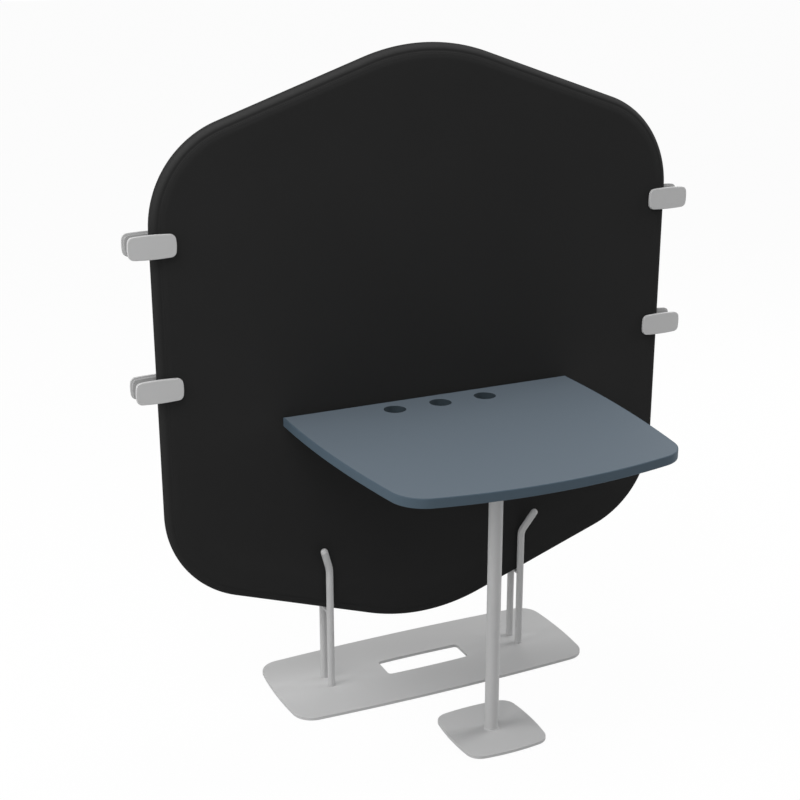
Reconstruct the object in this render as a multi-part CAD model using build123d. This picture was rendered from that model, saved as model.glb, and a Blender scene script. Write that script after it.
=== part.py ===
from build123d import *
import os
from math import atan2, cos, hypot, radians, sin, tan

# Desk with privacy screen. All lengths are millimetres.
# +X runs to the user's right along the screen, +Y away from the user, +Z up.
# The origin lies on the floor, midway between the front of the desk and the back of the base plate.

# Clearances shared by the whole object
seat_gap = 0.3
thread_gap = 0.06
screw_hole_gap = 0.4
cut_overrun = 5.0

# Overall driving sizes
desk_height = 740.0
glide_stand = 1.5
screen_width = 1334.0
screen_side_height = 1014.0
screen_peak_rise = 232.5
screen_side_radius = 244.0
screen_peak_radius = 472.0
screen_lower_side_z = 355.5

# Padded screen section
panel_thickness = 36.0
edge_roll_radius = 15.0
seam_inset = 21.0
panel_edge_radius = 7.0
cover_thickness = 1.0
frame_inset = 8.0
frame_thickness = 18.0
frame_member_width = 72.0
frame_rail_width = 90.0
upper_rail_z = 1180.0
infill_gap = 0.5

# Desk top
desk_back_width = 760.0
desk_front_width = 673.0
desk_corner_reach = 578.0
desk_front_bow = 43.4
desk_side_bow = 14.2
desk_back_land = 12.0
desk_corner_radius = 82.0
desk_thickness = 22.0
laminate_thickness = 0.8
edge_band_thickness = 2.5
edge_band_arris = 1.8
desk_screen_gap = 12.5
cable_hole_radius = 27.0
cable_hole_spacing = 120.0
cable_hole_setback = 56.0

# Brackets between desk top and screen
bracket_spacing = 480.0
bracket_width = 44.0
bracket_thickness = 4.0
bracket_arm = 110.0
bracket_drop = 70.0
bracket_bend_radius = 6.0
bracket_rib_thickness = 4.0
bracket_rib_setback = 10.0
bracket_hole_edge = 18.0
bracket_screw_edge = 12.0
bracket_screw_sway = 13.0
wood_screw_radius = 2.5
wood_screw_length = 16.0
wood_screw_head_radius = 5.0
wood_screw_head_height = 2.5
machine_screw_radius = 3.0
machine_screw_length = 18.0
machine_screw_head_radius = 5.5
machine_screw_head_height = 3.3
socket_across_flats = 4.0
socket_depth = 1.8
pan_head_chamfer = 1.1
insert_radius = 5.5
insert_depth_share = 0.75

# Leg
leg_radius = 16.5
leg_wall = 2.0
leg_reach = 339.8
leg_plate_side = 100.0
leg_plate_thickness = 4.0
leg_plate_corner_radius = 12.0
leg_plate_hole_inset = 16.0
foot_side = 217.0
foot_bow = 8.7
foot_corner_radius = 36.0
foot_thickness = 7.0
plate_arris = 1.0

# Base plate
base_length = 817.0
base_width = 326.0
base_end_bow = 10.7
base_side_bow = 11.6
base_corner_radius = 53.0
base_thickness = 7.5
slot_length = 228.0
slot_width = 75.0
slot_side_bow = 2.2
slot_corner_radius = 10.0
glide_radius = 11.0
glide_inset = 34.0

# Support rods
rod_radius = 9.0
rod_spacing_x = 537.0
rod_spacing_y = 48.0
rod_bend_z = 329.5
rod_bend_radius = 50.0
flare_out = 22.5
flare_off = 25.0
flare_rise = 59.2
cross_bar_radius = 6.0
rod_screw_radius = 4.0
rod_screw_length = 24.0
rod_screw_head_radius = 7.6
rod_screw_head_height = 4.2

# Linking clips
clip_length = 109.4
clip_height = 54.3
clip_end_bow = 3.0
clip_side_bow = 2.4
clip_corner_radius = 13.0
clip_plate_thickness = 7.0
clip_edge_radius = 1.8
clip_upper_z = 1168.6
clip_lower_z = 841.4
grip_pad_thickness = 2.4
grip_pad_margin = 5.0
sleeve_radius = 6.5
sleeve_inset = 27.0
clip_screw_radius = 4.0
clip_screw_length = 28.0
clip_screw_head_radius = 7.8
clip_screw_head_height = 4.3
clip_socket_across_flats = 5.0
clip_socket_depth = 2.6
clamp_take_up = 2.0

# Places worked out from the sizes above
floor_to_plate = glide_stand
half_panel = panel_thickness / 2
desk_reach = desk_corner_reach + desk_front_bow
front_of_screen_to_desk_front = desk_screen_gap + desk_reach
front_extent = half_panel + front_of_screen_to_desk_front
screen_y = (front_extent - base_width / 2) / 2
face_y = screen_y - half_panel
desk_back_y = face_y - desk_screen_gap
leg_y = desk_back_y - leg_reach
peak_angle = atan2(screen_peak_rise, screen_width / 2)
screen_peak_z = screen_lower_side_z + screen_side_height + screen_peak_rise
desk_underside_z = desk_height - desk_thickness
bracket_rail_z = desk_underside_z - bracket_drop / 2
clip_x = screen_width / 2
clip_inner_gap = panel_thickness + 2 * seat_gap + 2 * grip_pad_thickness

front = Vector(0, -1, 0)
SIDES = {"left": -1, "right": 1}


def moved_y(shape, distance):
    """Shift a shape along +Y."""
    return Pos(0, distance, 0) * shape


def upright_plane(x, y, z, facing):
    """A plane at a point whose normal is the given horizontal direction and whose X is the row's X."""
    return Plane(origin=(x, y, z), x_dir=(1, 0, 0), z_dir=(facing.X, facing.Y, facing.Z))


def bowed_outline(length, width, end_bow, side_bow, corner_radius):
    """A rectangle whose four sides bow outwards between rounded corners."""
    x_corner = length / 2 - end_bow
    y_corner = width / 2 - side_bow
    corners = [(-x_corner, -y_corner), (x_corner, -y_corner), (x_corner, y_corner), (-x_corner, y_corner)]
    middles = [(0, -width / 2), (length / 2, 0), (0, width / 2), (-length / 2, 0)]
    if end_bow > 0:
        ends = [ThreePointArc(corners[i], middles[i], corners[(i + 1) % 4]) for i in (1, 3)]
    else:
        ends = [Line(corners[i], corners[(i + 1) % 4]) for i in (1, 3)]
    sides = [ThreePointArc(corners[i], middles[i], corners[(i + 1) % 4]) for i in (0, 2)]
    face = make_face([sides[0], ends[0], sides[1], ends[1]])
    return fillet(face.vertices(), corner_radius)


def countersunk_screw(radius, length, head_radius, head_height, across_flats, depth):
    """A countersunk socket screw along +Z, its flat head face at z = 0 and its shank below."""
    cone = loft([Circle(head_radius), Pos(0, 0, -head_height) * Circle(radius)])
    shank = Pos(0, 0, -length) * extrude(Circle(radius), length - head_height)
    hexagon = RegularPolygon(across_flats / 2, 6, major_radius=False)
    socket = Pos(0, 0, -depth) * extrude(hexagon, depth + cut_overrun)
    return cone + shank - socket


def countersink_cut(hole_radius, head_radius, head_height, thickness):
    """The tool that cuts a countersunk hole through a plate whose outer face is at z = 0."""
    cone = loft([Circle(head_radius), Pos(0, 0, -head_height) * Circle(hole_radius)])
    mouth = extrude(Circle(head_radius), cut_overrun)
    bore = Pos(0, 0, -thickness - cut_overrun) * extrude(Circle(hole_radius), thickness + cut_overrun)
    return cone + mouth + bore


# Padded screen

def screen_corners(inset):
    """The six corner points of the screen in X and Z with their radii, inset from its outline."""
    half = screen_width / 2 - inset
    top = screen_peak_z - inset / cos(peak_angle)
    upper = top - half * tan(peak_angle)
    bottom = screen_lower_side_z - screen_peak_rise + inset / cos(peak_angle)
    lower = bottom + half * tan(peak_angle)
    points = [(0, bottom), (half, lower), (half, upper), (0, top), (-half, upper), (-half, lower)]
    side = screen_side_radius - inset
    peak = screen_peak_radius - inset
    return points, [peak, side, side, peak, side, side]


def screen_outline(inset):
    """The screen's rounded hexagon as a face standing in the X-Z plane at y = 0, facing the user."""
    points, corner_radii = screen_corners(inset)
    path = FilletPolyline(*points, radius=corner_radii, close=True)
    return Plane(origin=(0, 0, 0), x_dir=(1, 0, 0), z_dir=(0, -1, 0)) * make_face(path)


def screen_slab(inset, low, high):
    """The rounded hexagon as a slab from depth low to depth high towards the user."""
    return moved_y(extrude(screen_outline(inset), high - low), -low)


def padded_section(skin):
    """Half of the padded edge's section: inset from the outline along X, depth towards the user along Y."""
    roll = edge_roll_radius - skin
    nose = panel_edge_radius - skin
    nose_x = seam_inset + panel_edge_radius
    nose_y = half_panel - panel_edge_radius
    # The edge roll and the panel's rounded edge are circles, which meet in the seam's valley
    spread = hypot(nose_x - edge_roll_radius, nose_y)
    along = (roll ** 2 - nose ** 2 + spread ** 2) / (2 * spread)
    off = (roll ** 2 - along ** 2) ** 0.5
    ux = (nose_x - edge_roll_radius) / spread
    uy = nose_y / spread
    valley = (edge_roll_radius + along * ux - off * uy, along * uy + off * ux)
    start = (skin, 0)
    crest = (edge_roll_radius - roll * cos(radians(60)), roll * sin(radians(60)))
    rise_turn = (atan2(valley[1] - nose_y, valley[0] - nose_x) + radians(90)) / 2
    nose_mid = (nose_x + nose * cos(rise_turn), nose_y + nose * sin(rise_turn))
    shoulder = (nose_x, half_panel - skin)
    return make_face([
        ThreePointArc(start, crest, valley),
        ThreePointArc(valley, nose_mid, shoulder),
        Line(shoulder, (nose_x, 0)),
        Line((nose_x, 0), start),
    ])


def padded_half(skin):
    """The front half of the padded screen, its surface set in by the skin's thickness."""
    section = padded_section(skin)
    points, corner_radii = screen_corners(0)
    body = screen_slab(seam_inset + panel_edge_radius, 0, half_panel - skin)
    count = len(points)
    runs = []
    for i in range(count):
        before = Vector(*points[i - 1])
        here = Vector(*points[i])
        after = Vector(*points[(i + 1) % count])
        way_in = (here - before).normalized()
        way_out = (after - here).normalized()
        turn = way_in.get_angle(way_out)
        tangent = corner_radii[i] * tan(radians(turn) / 2)
        start = here - way_in * tangent
        end = here + way_out * tangent
        inward = Vector(-way_in.Y, way_in.X)
        centre = start + inward * corner_radii[i]
        corner_plane = Plane(origin=(start.X, 0, start.Y), x_dir=(inward.X, 0, inward.Y),
                             z_dir=(way_in.X, 0, way_in.Y))
        runs.append(revolve(corner_plane * section, Axis((centre.X, 0, centre.Y), (0, -1, 0)), turn))
        next_turn = (Vector(*points[(i + 2) % count]) - after).get_angle(way_out)
        next_tangent = corner_radii[(i + 1) % count] * tan(radians(next_turn) / 2)
        run_length = (after - here).length - tangent - next_tangent
        out = Vector(-way_out.Y, way_out.X)
        run_plane = Plane(origin=(end.X, 0, end.Y), x_dir=(out.X, 0, out.Y), z_dir=(way_out.X, 0, way_out.Y))
        runs.append(extrude(run_plane * section, run_length))
    return body + runs


def rod_dents(clearance):
    """The two front rods, grown by a clearance, about the screen's mid plane."""
    return [
        rod_body(side, -1, side * rod_spacing_x / 2, -rod_spacing_y / 2, clearance)
        for side in SIDES.values()
    ]


def sleeve_places():
    """X and Z of the four clip sleeves that pass through the screen."""
    return [
        (side * (clip_x - sleeve_inset), z)
        for side in SIDES.values()
        for z in (clip_upper_z, clip_lower_z)
    ]


def bracket_screw_places():
    """X and Z of the machine screws that hold the brackets to the screen, either side of each rib."""
    low = desk_underside_z - bracket_drop + bracket_screw_edge
    high = desk_underside_z - bracket_thickness - bracket_hole_edge
    return [
        (side * bracket_spacing / 2 + sway, z)
        for side in SIDES.values()
        for sway in (-bracket_screw_sway, bracket_screw_sway)
        for z in (low, high)
    ]


def through_holes(places, radius, depth):
    """Cylinders along Y about the screen's mid plane at the given X and Z places."""
    tool = Plane(origin=(0, depth, 0), x_dir=(1, 0, 0), z_dir=(0, -1, 0)) * extrude(Circle(radius), 2 * depth)
    return [Pos(x, 0, z) * tool for x, z in places]


def screen_frame_windows(gap):
    """The openings between the frame's members and rails, as faces, drawn in by a gap."""
    opening = screen_outline(frame_inset + frame_member_width + gap)
    rails = []
    for z in (bracket_rail_z, upper_rail_z):
        rail = Rectangle(screen_width, frame_rail_width + 2 * gap)
        rails.append(upright_plane(0, 0, z, front) * rail)
    return opening - rails


def make_screen():
    """The frame, its infill, the two pads and the two covers, all about the screen's mid plane."""
    sleeves = through_holes(sleeve_places(), sleeve_radius + seat_gap, panel_thickness)
    inserts = through_holes(bracket_screw_places(), insert_radius + seat_gap, half_panel + cut_overrun)
    insert_tools = [moved_y(tool, -half_panel - cut_overrun + insert_end_depth()) for tool in inserts]
    half_frame = frame_thickness / 2
    frame = screen_slab(frame_inset, -half_frame, half_frame)
    frame = frame - moved_y(extrude(screen_frame_windows(0), frame_thickness), half_frame)
    infill = moved_y(extrude(screen_frame_windows(infill_gap), frame_thickness), half_frame)
    outer = padded_half(0)
    inner = padded_half(cover_thickness)
    core_space = screen_slab(frame_inset, 0, half_frame)
    outer_dented = outer - rod_dents(seat_gap)
    inner_dented = inner - rod_dents(seat_gap + cover_thickness)
    cover = outer_dented - inner_dented
    pad = inner_dented - core_space
    front_cover = cover - sleeves - insert_tools
    front_pad = pad - sleeves - insert_tools
    back_cover = mirror(cover, Plane.XZ) - sleeves
    back_pad = mirror(pad, Plane.XZ) - sleeves
    pieces = {
        "screen_frame": frame - sleeves - insert_tools,
        "acoustic_infill": infill,
        "front_pad": front_pad,
        "back_pad": back_pad,
        "front_cover": front_cover,
        "back_cover": back_cover,
        "screen_inserts": Compound(children=make_screen_inserts()),
    }
    return {name: moved_y(piece, screen_y) for name, piece in pieces.items()}


def insert_end_depth():
    """How far behind the mid plane the threaded inserts reach, within the frame."""
    return frame_thickness * insert_depth_share - frame_thickness / 2


def make_screen_inserts():
    """The threaded bushes that carry the brackets' machine screws, flush with the screen's face."""
    end_y = insert_end_depth() - seat_gap
    tube = Circle(insert_radius) - Circle(machine_screw_radius + thread_gap)
    bush = extrude(upright_plane(0, end_y, 0, front) * tube, half_panel + end_y)
    return [Pos(x, 0, z) * bush for x, z in bracket_screw_places()]


# Desk top

def desk_front_corner(inset):
    """The sharp corner where the desk top's right side would meet its front, drawn in by an inset."""
    half_back = desk_back_width / 2
    corner = Vector(desk_front_width / 2, desk_back_y - desk_corner_reach)
    land = Vector(half_back, desk_back_y - desk_back_land)
    side_middle = (land + corner) / 2 + Vector(desk_side_bow, 0)
    side_way = ThreePointArc(corner, side_middle, land) % 0
    front_way = ThreePointArc((-corner.X, corner.Y), (0, desk_back_y - desk_reach), corner) % 1
    side_inward = Vector(-side_way.Y, side_way.X)
    front_inward = Vector(-front_way.Y, front_way.X)
    return corner + (side_inward + front_inward) * (inset / (1 + side_inward.dot(front_inward)))


def desk_outline(inset):
    """The desk top seen from above: straight back, short square lands, bowed sides and front."""
    half_back = desk_back_width / 2 - inset
    back_y = desk_back_y - inset
    land_y = desk_back_y - desk_back_land
    front_y = desk_back_y - desk_reach + inset
    corner = desk_front_corner(inset)
    mid_x = (desk_back_width + desk_front_width) / 4 + desk_side_bow - inset
    mid_y = (land_y + desk_back_y - desk_corner_reach) / 2
    face = make_face([
        ThreePointArc((-corner.X, corner.Y), (0, front_y), (corner.X, corner.Y)),
        ThreePointArc((corner.X, corner.Y), (mid_x, mid_y), (half_back, land_y)),
        Line((half_back, land_y), (half_back, back_y)),
        Line((half_back, back_y), (-half_back, back_y)),
        Line((-half_back, back_y), (-half_back, land_y)),
        ThreePointArc((-half_back, land_y), (-mid_x, mid_y), (-corner.X, corner.Y)),
    ])
    corners = face.vertices().sort_by(Axis.Y)[:2]
    return fillet(corners, desk_corner_radius - inset)


def cable_hole_places():
    """Centres of the three cable holes along the back of the desk top."""
    return [(i * cable_hole_spacing, desk_back_y - cable_hole_setback) for i in (-1, 0, 1)]


def make_desk_top():
    """Board core, two laminates and the edge band, with the cable holes through them."""
    board = desk_outline(edge_band_thickness)
    holes = [Pos(x, y) * Circle(cable_hole_radius) for x, y in cable_hole_places()]
    drilled = board - holes
    band = extrude(Pos(0, 0, desk_underside_z) * (desk_outline(0) - board), desk_thickness)
    flats = band.faces().sort_by(Axis.Z)
    band = fillet(flats[-1].outer_wire().edges() + flats[0].outer_wire().edges(), edge_band_arris)
    core_thickness = desk_thickness - 2 * laminate_thickness
    core = extrude(Pos(0, 0, desk_underside_z + laminate_thickness) * drilled, core_thickness)
    top = extrude(Pos(0, 0, desk_height - laminate_thickness) * drilled, laminate_thickness)
    underside = extrude(Pos(0, 0, desk_underside_z) * drilled, laminate_thickness)
    pilot_holes = wood_screw_cuts()
    return {
        "desk_core": core - pilot_holes,
        "desk_top_laminate": top,
        "desk_underside_laminate": underside - pilot_holes,
        "desk_edge_band": band,
    }


# Brackets

def bracket_wood_screw_places():
    """X and Y of the wood screws that hold the brackets under the desk top."""
    near = face_y - bracket_arm + bracket_hole_edge
    far = desk_back_y - 2 * bracket_hole_edge
    sway = bracket_width / 2 - bracket_hole_edge / 2
    return [
        (side * bracket_spacing / 2 + lateral, y)
        for side in SIDES.values()
        for lateral, y in ((sway, near), (-sway, near), (sway, far), (-sway, far))
    ]


def leg_screw_places():
    """X and Y of the wood screws that hold the leg's top plate."""
    reach = leg_plate_side / 2 - leg_plate_hole_inset
    return [(sx * reach, leg_y + sy * reach) for sx in (-1, 1) for sy in (-1, 1)]


def wood_screw_cuts():
    """Pilot holes for every wood screw in the desk top's underside."""
    depth = wood_screw_length - leg_plate_thickness + seat_gap
    tool = extrude(Circle(wood_screw_radius + thread_gap), depth + cut_overrun)
    places = bracket_wood_screw_places() + leg_screw_places()
    return [Pos(x, y, desk_underside_z - cut_overrun) * tool for x, y in places]


def wood_screw(plate_thickness):
    """A countersunk wood screw driven upwards, its head flush with the plate's lower face."""
    screw = countersunk_screw(wood_screw_radius, wood_screw_length, wood_screw_head_radius,
                              wood_screw_head_height, socket_across_flats, socket_depth)
    return Pos(0, 0, desk_underside_z - plate_thickness) * (Rot(180, 0, 0) * screw)


def wood_screw_hole(plate_thickness):
    """The countersunk hole for a wood screw in a plate under the desk top."""
    cut = countersink_cut(wood_screw_radius + screw_hole_gap, wood_screw_head_radius + seat_gap,
                          wood_screw_head_height + seat_gap, plate_thickness)
    return Pos(0, 0, desk_underside_z - plate_thickness) * (Rot(180, 0, 0) * cut)


def bracket_profile():
    """The bracket's folded strip seen from its end, in Y and Z."""
    top = desk_underside_z
    inner_y = face_y - bracket_thickness
    inner_z = top - bracket_thickness
    strip = make_face(Polyline(
        (face_y, top), (face_y - bracket_arm, top), (face_y - bracket_arm, inner_z),
        (inner_y, inner_z), (inner_y, top - bracket_drop), (face_y, top - bracket_drop), close=True))
    inner = strip.vertices().sort_by_distance(Vector(inner_y, inner_z))[0]
    strip = fillet(inner, bracket_bend_radius)
    outer = strip.vertices().sort_by_distance(Vector(face_y, top))[0]
    return fillet(outer, bracket_bend_radius + bracket_thickness)


def make_bracket(side):
    """One folded angle bracket with a welded rib, drilled for its wood and machine screws."""
    centre_x = side * bracket_spacing / 2
    y_z_plane = Plane(origin=(centre_x - bracket_width / 2, 0, 0), x_dir=(0, 1, 0), z_dir=(1, 0, 0))
    strip = extrude(y_z_plane * bracket_profile(), bracket_width)
    inner_y = face_y - bracket_thickness
    inner_z = desk_underside_z - bracket_thickness
    rib_face = make_face(Polyline(
        (inner_y, inner_z), (face_y - bracket_arm + bracket_rib_setback, inner_z),
        (inner_y, desk_underside_z - bracket_drop + bracket_rib_setback), close=True))
    rib_plane = Plane(origin=(centre_x - bracket_rib_thickness / 2, 0, 0), x_dir=(0, 1, 0), z_dir=(1, 0, 0))
    body = strip + extrude(rib_plane * rib_face, bracket_rib_thickness)
    wood_holes = [
        Pos(x, y, 0) * wood_screw_hole(bracket_thickness)
        for x, y in bracket_wood_screw_places()
        if x * side > 0
    ]
    machine_hole = Plane(origin=(0, face_y + cut_overrun, 0), x_dir=(1, 0, 0), z_dir=(0, -1, 0)) * extrude(
        Circle(machine_screw_radius + screw_hole_gap), bracket_thickness + 2 * cut_overrun)
    machine_holes = [Pos(x, 0, z) * machine_hole for x, z in bracket_screw_places() if x * side > 0]
    return body - wood_holes - machine_holes


def machine_screw():
    """A pan head socket screw along Y, its head towards the user on the bracket's face."""
    head = extrude(Circle(machine_screw_head_radius), machine_screw_head_height)
    head = chamfer(head.edges().sort_by(Axis.Z)[-1:], pan_head_chamfer)
    shank = Pos(0, 0, -machine_screw_length) * extrude(Circle(machine_screw_radius), machine_screw_length)
    socket = Pos(0, 0, machine_screw_head_height - socket_depth) * extrude(
        RegularPolygon(socket_across_flats / 2, 6, major_radius=False), socket_depth + cut_overrun)
    return upright_plane(0, face_y - bracket_thickness, 0, front) * (head + shank - socket)


def make_brackets():
    """Both brackets and the screws that hold them to desk top and screen."""
    screw = machine_screw()
    machine_screws = [Pos(x, 0, z) * screw for x, z in bracket_screw_places()]
    return {
        "left_desk_bracket": make_bracket(SIDES["left"]),
        "right_desk_bracket": make_bracket(SIDES["right"]),
        "bracket_wood_screws": Compound(children=[
            Pos(x, y, 0) * wood_screw(bracket_thickness) for x, y in bracket_wood_screw_places()]),
        "bracket_machine_screws": Compound(children=machine_screws),
    }


# Leg

def make_leg():
    """The tube between the foot plate and the plate under the desk top, with screws and glides."""
    foot_top_z = floor_to_plate + foot_thickness
    tube_top_z = desk_underside_z - leg_plate_thickness
    ring = Circle(leg_radius) - Circle(leg_radius - leg_wall)
    tube = extrude(Pos(0, leg_y, foot_top_z) * ring, tube_top_z - foot_top_z)
    plate_outline = RectangleRounded(leg_plate_side, leg_plate_side, leg_plate_corner_radius)
    plate = extrude(Pos(0, leg_y, tube_top_z) * plate_outline, leg_plate_thickness)
    holes = [Pos(x, y, 0) * wood_screw_hole(leg_plate_thickness) for x, y in leg_screw_places()]
    foot_outline = bowed_outline(foot_side, foot_side, foot_bow, foot_bow, foot_corner_radius)
    foot = extrude(Pos(0, leg_y, floor_to_plate) * foot_outline, foot_thickness)
    foot = fillet(foot.faces().sort_by(Axis.Z)[-1].outer_wire().edges(), plate_arris)
    reach = foot_side / 2 - glide_inset
    glide = extrude(Circle(glide_radius), glide_stand)
    glides = [Pos(sx * reach, leg_y + sy * reach, 0) * glide for sx in (-1, 1) for sy in (-1, 1)]
    return {
        "leg_tube": tube,
        "leg_top_plate": plate - holes,
        "leg_plate_screws": Compound(children=[
            Pos(x, y, 0) * wood_screw(leg_plate_thickness) for x, y in leg_screw_places()]),
        "foot_plate": foot,
        "foot_glides": Compound(children=glides),
    }


# Base plate and rods

def rod_places():
    """Name, X direction, Y direction and place of each of the four support rods."""
    return [
        (f"{name}_{row}_rod", side, off, side * rod_spacing_x / 2, screen_y + off * rod_spacing_y / 2)
        for name, side in SIDES.items()
        for row, off in (("front", -1), ("back", 1))
    ]


def rod_foot_z():
    """Height of the base plate's top face."""
    return floor_to_plate + base_thickness


def rod_body(side, off, x, y, growth):
    """A round rod: upright, then bent outwards and away from the screen, with a domed end."""
    foot = Vector(x, y, rod_foot_z())
    bend = Vector(x, y, rod_bend_z)
    tip = bend + Vector(side * flare_out, off * flare_off, flare_rise)
    path = FilletPolyline(foot, bend, tip, radius=rod_bend_radius)
    rod = sweep(Pos(foot.X, foot.Y, foot.Z) * Circle(rod_radius + growth), path=path)
    return rod + Pos(tip.X, tip.Y, tip.Z) * Sphere(rod_radius + growth)


def make_rod(side, off, x, y):
    """One support rod with the tapped hole in its foot."""
    hole_depth = rod_screw_length - base_thickness + seat_gap
    hole = extrude(Circle(rod_screw_radius + thread_gap), hole_depth + cut_overrun)
    return rod_body(side, off, x, y, 0) - Pos(x, y, rod_foot_z() - cut_overrun) * hole


def cross_bar_z():
    """Height of a cross bar's axis, so that the screen's sloping lower edge rests on it."""
    edge_z = screen_lower_side_z - screen_peak_rise + rod_spacing_x / 2 * tan(peak_angle)
    return edge_z - (cross_bar_radius + seat_gap) / cos(peak_angle)


def make_cross_bar(x):
    """The short bar between a front and a back rod, cut to the rods' round sides."""
    half = rod_spacing_y / 2
    end = upright_plane(x, screen_y + half, cross_bar_z(), front)
    bar = end * extrude(Circle(cross_bar_radius), rod_spacing_y)
    rods = [
        Pos(x, screen_y + off * half, rod_foot_z()) * extrude(Circle(rod_radius), rod_bend_z)
        for off in (-1, 1)
    ]
    return bar - rods


def make_base():
    """The base plate with its hand slot, the rods, cross bars, screws and glides."""
    plate = extrude(Pos(0, screen_y, floor_to_plate) * bowed_outline(
        base_length, base_width, base_end_bow, base_side_bow, base_corner_radius), base_thickness)
    slot = extrude(Pos(0, screen_y, floor_to_plate - cut_overrun) * bowed_outline(
        slot_length, slot_width, 0, slot_side_bow, slot_corner_radius), base_thickness + 2 * cut_overrun)
    plate = fillet(plate.faces().sort_by(Axis.Z)[-1].outer_wire().edges(), plate_arris)
    screw = Rot(180, 0, 0) * countersunk_screw(
        rod_screw_radius, rod_screw_length, rod_screw_head_radius, rod_screw_head_height,
        clip_socket_across_flats, clip_socket_depth)
    cut = Rot(180, 0, 0) * countersink_cut(
        rod_screw_radius + screw_hole_gap, rod_screw_head_radius + seat_gap,
        rod_screw_head_height + seat_gap, base_thickness)
    places = [(x, y) for _, _, _, x, y in rod_places()]
    pieces = {"base_plate": plate - slot - [Pos(x, y, floor_to_plate) * cut for x, y in places]}
    for name, side, off, x, y in rod_places():
        pieces[name] = make_rod(side, off, x, y)
    for name, side in SIDES.items():
        pieces[f"{name}_cross_bar"] = make_cross_bar(side * rod_spacing_x / 2)
    pieces["rod_screws"] = Compound(children=[Pos(x, y, floor_to_plate) * screw for x, y in places])
    reach_x = base_length / 2 - 2 * glide_inset
    reach_y = base_width / 2 - glide_inset
    glide = extrude(Circle(glide_radius), glide_stand)
    spots = [(sx * reach_x, screen_y + sy * reach_y) for sx in (-1, 0, 1) for sy in (-1, 1)]
    pieces["base_glides"] = Compound(children=[Pos(x, y, 0) * glide for x, y in spots])
    return pieces


# Linking clips

def clip_plate(margin, thickness):
    """A clip's bowed outline, drawn in by a margin and extruded to a thickness."""
    outline = bowed_outline(clip_length - 2 * margin, clip_height - 2 * margin,
                            clip_end_bow, clip_side_bow, clip_corner_radius - margin)
    return extrude(outline, thickness)


def make_clip(prefix, side, z):
    """One clip, modelled flat with +Z towards the user and then stood up at its place."""
    half_gap = clip_inner_gap / 2
    sleeve_x = -side * sleeve_inset
    sleeve_length = clip_inner_gap - clamp_take_up
    front_plate = Pos(0, 0, half_gap) * clip_plate(0, clip_plate_thickness)
    front_plate = fillet(front_plate.faces().sort_by(Axis.Z)[-1].edges(), clip_edge_radius)
    back_plate = Pos(0, 0, -half_gap - clip_plate_thickness) * clip_plate(0, clip_plate_thickness)
    back_plate = fillet(back_plate.faces().sort_by(Axis.Z)[0].edges(), clip_edge_radius)
    outer_z = -half_gap - clip_plate_thickness
    cut = countersink_cut(clip_screw_radius + screw_hole_gap, clip_screw_head_radius + seat_gap,
                          clip_screw_head_height + seat_gap, clip_plate_thickness)
    back_plate = back_plate - Pos(sleeve_x, 0, outer_z) * (Rot(180, 0, 0) * cut)
    pad = clip_plate(grip_pad_margin, grip_pad_thickness)
    sleeve_hole = extrude(Circle(sleeve_radius + seat_gap), grip_pad_thickness + 2 * cut_overrun)
    pad = pad - Pos(sleeve_x, 0, -cut_overrun) * sleeve_hole
    tube = Circle(sleeve_radius) - Circle(clip_screw_radius + thread_gap)
    sleeve = Pos(sleeve_x, 0, half_gap - sleeve_length) * extrude(tube, sleeve_length)
    screw = countersunk_screw(clip_screw_radius, clip_screw_length, clip_screw_head_radius,
                              clip_screw_head_height, clip_socket_across_flats, clip_socket_depth)
    pieces = {
        "front_plate": front_plate,
        "sleeve": sleeve,
        "front_grip_pad": Pos(0, 0, half_gap - grip_pad_thickness) * pad,
        "back_grip_pad": Pos(0, 0, -half_gap) * pad,
        "back_plate": back_plate,
        "screw": Pos(sleeve_x, 0, outer_z) * (Rot(180, 0, 0) * screw),
    }
    place = upright_plane(side * clip_x, screen_y, z, front)
    return {f"{prefix}_{name}": place * piece for name, piece in pieces.items()}


def make_clips():
    """The four linking clips, two on each upright edge of the screen."""
    pieces = {}
    for side_name, side in SIDES.items():
        for level, z in (("upper", clip_upper_z), ("lower", clip_lower_z)):
            pieces.update(make_clip(f"{level}_{side_name}_clip", side, z))
    return pieces


def main():
    os.makedirs("parts", exist_ok=True)
    pieces = {}
    for make in (make_screen, make_desk_top, make_brackets, make_leg, make_base, make_clips):
        pieces.update(make())
    for name, piece in pieces.items():
        export_step(piece, f"parts/{name}.step")
    print(len(pieces), "nodes written")


main()
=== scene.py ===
import logging
import math
from dataclasses import dataclass, field
from enum import Enum
from typing import Iterable

import bmesh
import bpy
from mathutils import Matrix, Vector
from mathutils.bvhtree import BVHTree


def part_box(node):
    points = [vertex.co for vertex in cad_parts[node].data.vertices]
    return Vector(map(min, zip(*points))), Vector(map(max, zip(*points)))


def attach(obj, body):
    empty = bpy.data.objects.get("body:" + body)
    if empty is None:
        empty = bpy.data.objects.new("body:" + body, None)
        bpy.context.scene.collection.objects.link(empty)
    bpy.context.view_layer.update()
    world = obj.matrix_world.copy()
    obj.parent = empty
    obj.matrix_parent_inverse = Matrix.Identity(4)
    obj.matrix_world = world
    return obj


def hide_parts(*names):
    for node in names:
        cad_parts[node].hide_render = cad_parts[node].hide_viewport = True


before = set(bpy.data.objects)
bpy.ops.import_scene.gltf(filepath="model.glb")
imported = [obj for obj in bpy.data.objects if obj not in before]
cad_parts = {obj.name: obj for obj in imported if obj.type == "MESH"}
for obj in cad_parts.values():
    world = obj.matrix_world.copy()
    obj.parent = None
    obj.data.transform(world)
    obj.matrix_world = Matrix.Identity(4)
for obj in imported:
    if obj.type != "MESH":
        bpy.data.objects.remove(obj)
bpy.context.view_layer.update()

TURN = 2 * math.pi

log = logging.getLogger("desk_with_privacy_screen")

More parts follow.
